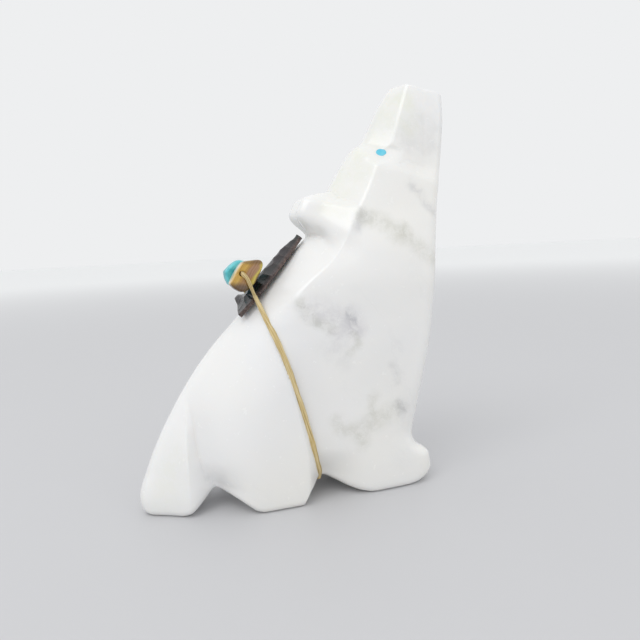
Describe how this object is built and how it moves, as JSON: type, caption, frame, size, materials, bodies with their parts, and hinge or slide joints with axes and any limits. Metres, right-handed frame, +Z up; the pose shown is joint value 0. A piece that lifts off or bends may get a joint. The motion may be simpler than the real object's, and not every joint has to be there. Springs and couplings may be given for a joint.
{
  "type": "stone animal fetish carving",
  "caption": "Standing stone carving of a howling coyote, nose up, with an arrowhead and stone chips tied on its back with sinew.",
  "frame": {"origin": "on the middle plane, under the middle of the haunch's flat underside", "axes": "+X from the tail towards the chest, +Y towards the animal's left side, +Z up towards the nose"},
  "size_m": [0.061, 0.0235, 0.076],
  "materials": {
    "white_marble": "polished white marble with soft grey clouds and veins",
    "eye_turquoise": "polished sky blue turquoise inlay",
    "arrowhead_stone": "knapped dark stone, waxy, with pale worn edges",
    "tigers_eye": "polished tiger's-eye with golden and brown bands",
    "turquoise": "tumbled turquoise with dark matrix",
    "sinew": "waxed split sinew, fibrous, tan"
  },
  "bodies": {
    "root": {"carved_body": "white_marble", "right_eye_inlay": "eye_turquoise", "left_eye_inlay": "eye_turquoise", "arrowhead": "arrowhead_stone", "tigers_eye_chip": "tigers_eye", "turquoise_chip": "turquoise", "sinew_binding": "sinew"}
  },
  "joints": []
}
